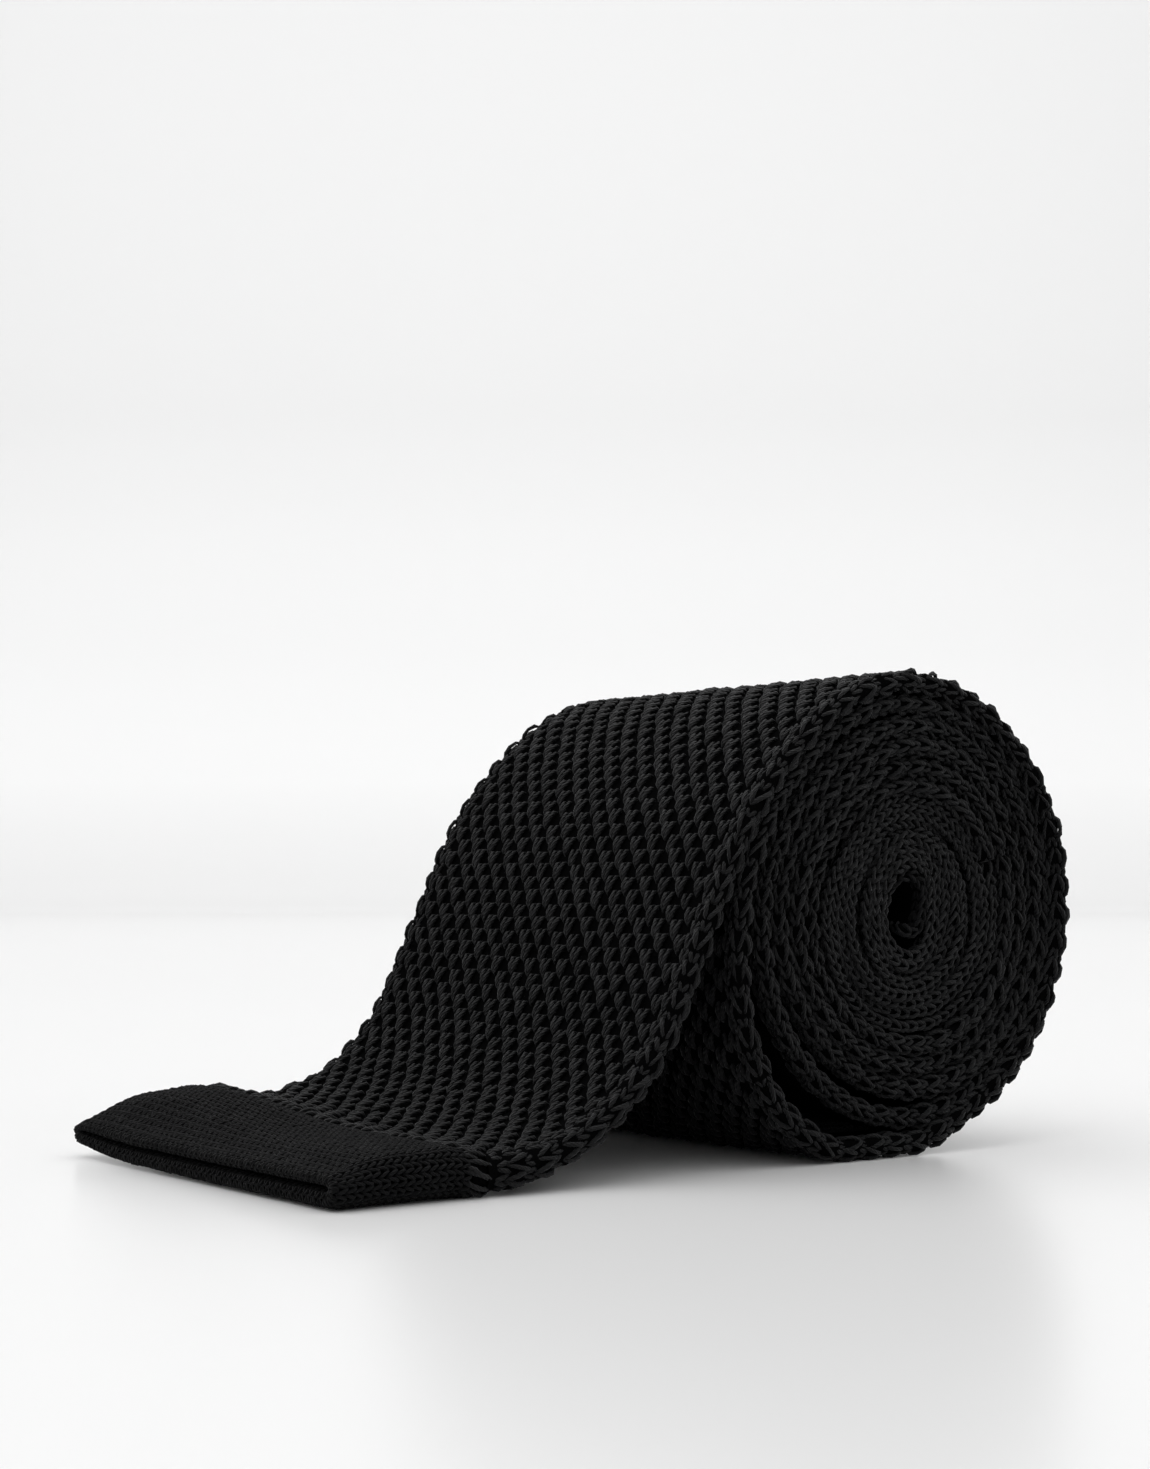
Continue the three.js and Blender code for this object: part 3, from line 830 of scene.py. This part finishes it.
def build_keeper_tack(side, sign, centre, base):
    """The bar tack at one end of the keeper loop."""
    count = 9
    s = (np.arange(count) - (count - 1) / 2) * 0.95
    p = np.full(count, -sign * (KEEPER_WIDTH / 2 - 2))
    where = flat_place(centre, lambda q: base + 0.3 + 0 * q)
    tack = stitches(
        f"keeper_tack_{side}_stitches", s, p, 1.1, 1.5, TACK_FORM, 0.2, SEAM_YARN, where=where
    )
    attach([tack], "seam_yarn", body="roll")
    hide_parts(f"keeper_tack_{side}")


def build_keeper():
    """The tape loop on the back of the wide blade, and the bar tack at each of its ends."""
    centre = float(np.interp(KEEPER_AT, ALONG, LINE[:, 0]))
    base = float(np.interp(KEEPER_AT, ALONG, LINE[:, 1])) + BLADE_THICKNESS / 2 + 0.35
    tape = build_keeper_tape(centre, base)
    attach([tape], "keeper_tape", body="roll")
    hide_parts("keeper_loop")
    build_keeper_tack("front", -1, centre, base)
    build_keeper_tack("back", 1, centre, base)


build_wide_blade()
build_core()
build_tip()
build_keeper()


# ---- camera, light and floor ---------------------------------------------------------------------
def make_camera():
    """The photograph's viewpoint, in the roll's frame: low, to the left and in front."""
    yaw, pitch = math.radians(CAMERA_YAW), math.radians(CAMERA_PITCH)
    data = bpy.data.cameras.new("camera")
    camera = bpy.data.objects.new("camera", data)
    bpy.context.scene.collection.objects.link(camera)
    data.sensor_width = SENSOR
    data.lens = FOCAL_PIXELS * SENSOR / PHOTO_HEIGHT
    data.clip_start, data.clip_end = 0.01, 20
    level = math.cos(pitch)
    ahead = Vector((math.sin(yaw) * level, math.cos(yaw) * level, math.sin(pitch)))
    x, y, z = CAMERA_PLACE
    camera.location = Vector((x + SHIFT_X, y, z)) * MM
    camera.rotation_euler = ahead.to_track_quat("-Z", "Y").to_euler()
    bpy.context.scene.camera = camera


def stage_material():
    """Pale and slightly glossy, and a little paler up the backdrop."""
    material = bpy.data.materials.new("pale_floor")
    material.use_nodes = True
    nodes, links = material.node_tree.nodes, material.node_tree.links
    shader = nodes["Principled BSDF"]
    shader.inputs["Roughness"].default_value = 0.28
    where = nodes.new("ShaderNodeNewGeometry")
    height = nodes.new("ShaderNodeSeparateXYZ")
    blend = nodes.new("ShaderNodeMapRange")
    blend.inputs["From Max"].default_value = 0.12
    blend.inputs["To Min"].default_value = 0.78
    blend.inputs["To Max"].default_value = 0.92
    links.new(where.outputs["Position"], height.inputs["Vector"])
    links.new(height.outputs["Z"], blend.inputs["Value"])
    links.new(blend.outputs["Result"], shader.inputs["Base Color"])
    return material


def make_stage():
    """A pale, slightly glossy floor that curves up into a backdrop far behind."""
    rows = []
    reach, bend, rise = 1.6, 0.5, 2.5
    for y in np.linspace(-1.5, reach, 12):
        rows.append((y, 0.0))
    for a in np.linspace(0, math.pi / 2, 10)[1:]:
        rows.append((reach + bend * math.sin(a), bend * (1 - math.cos(a))))
    rows.append((reach + bend, rise))
    turn = Matrix.Rotation(math.radians(-CAMERA_YAW), 3, "Z")
    points, quads = [], []
    for y, z in rows:
        points += [turn @ Vector((-3, y, z)), turn @ Vector((3, y, z))]
    for k in range(len(rows) - 1):
        quads.append((2 * k, 2 * k + 1, 2 * k + 3, 2 * k + 2))
    mesh = bpy.data.meshes.new("floor")
    mesh.from_pydata([tuple(p) for p in points], [], quads)
    mesh.materials.append(stage_material())
    floor = bpy.data.objects.new("floor", mesh)
    for polygon in mesh.polygons:
        polygon.use_smooth = True
    bpy.context.scene.collection.objects.link(floor)


def area_light(name, location, target, size, power):
    """A rectangular softbox, aimed at target. Metres and watts."""
    data = bpy.data.lights.new(name, "AREA")
    data.shape = "RECTANGLE"
    data.size, data.size_y = size
    data.energy = power
    light = bpy.data.objects.new(name, data)
    light.location = location
    aim = Vector(target) - Vector(location)
    light.rotation_euler = aim.to_track_quat("-Z", "Y").to_euler()
    bpy.context.scene.collection.objects.link(light)


def make_world():
    """A large soft light from above and a little behind, fading to the ground."""
    world = bpy.data.worlds.new("studio")
    world.use_nodes = True
    nodes, links = world.node_tree.nodes, world.node_tree.links
    back = nodes["Background"]
    back.inputs["Color"].default_value = (1, 1, 1, 1)
    where = nodes.new("ShaderNodeTexCoord")
    toward = nodes.new("ShaderNodeVectorMath")
    toward.operation = "DOT_PRODUCT"
    toward.inputs[1].default_value = Vector((-0.12, 0.3, 0.94)).normalized()
    strength = nodes.new("ShaderNodeMapRange")
    strength.inputs["From Min"].default_value = -0.5
    strength.inputs["From Max"].default_value = 1.0
    strength.inputs["To Min"].default_value = 0.2
    strength.inputs["To Max"].default_value = 1.42
    links.new(where.outputs["Generated"], toward.inputs[0])
    links.new(toward.outputs["Value"], strength.inputs["Value"])
    links.new(strength.outputs["Result"], back.inputs["Strength"])
    bpy.context.scene.world = world


def make_light():
    """The light from all round, and four softboxes: place, aim, size and power."""
    make_world()
    area_light("backdrop_light", (0.55, 0.75, 1.2), (1.25, 1.65, 0.7), (2.0, 0.8), 4)
    area_light("top_softbox", (0.0, 0.1, 0.9), (0, 0, 0), (0.9, 0.9), 1.6)
    area_light("left_softbox", (-0.8, -0.2, 0.5), (0, 0, 0.03), (0.5, 0.7), 0.15)
    area_light("right_softbox", (0.7, -0.5, 0.5), (0, 0, 0.03), (0.5, 0.7), 0.8)


make_camera()
make_stage()
make_light()
bpy.context.scene.view_settings.view_transform = "Standard"
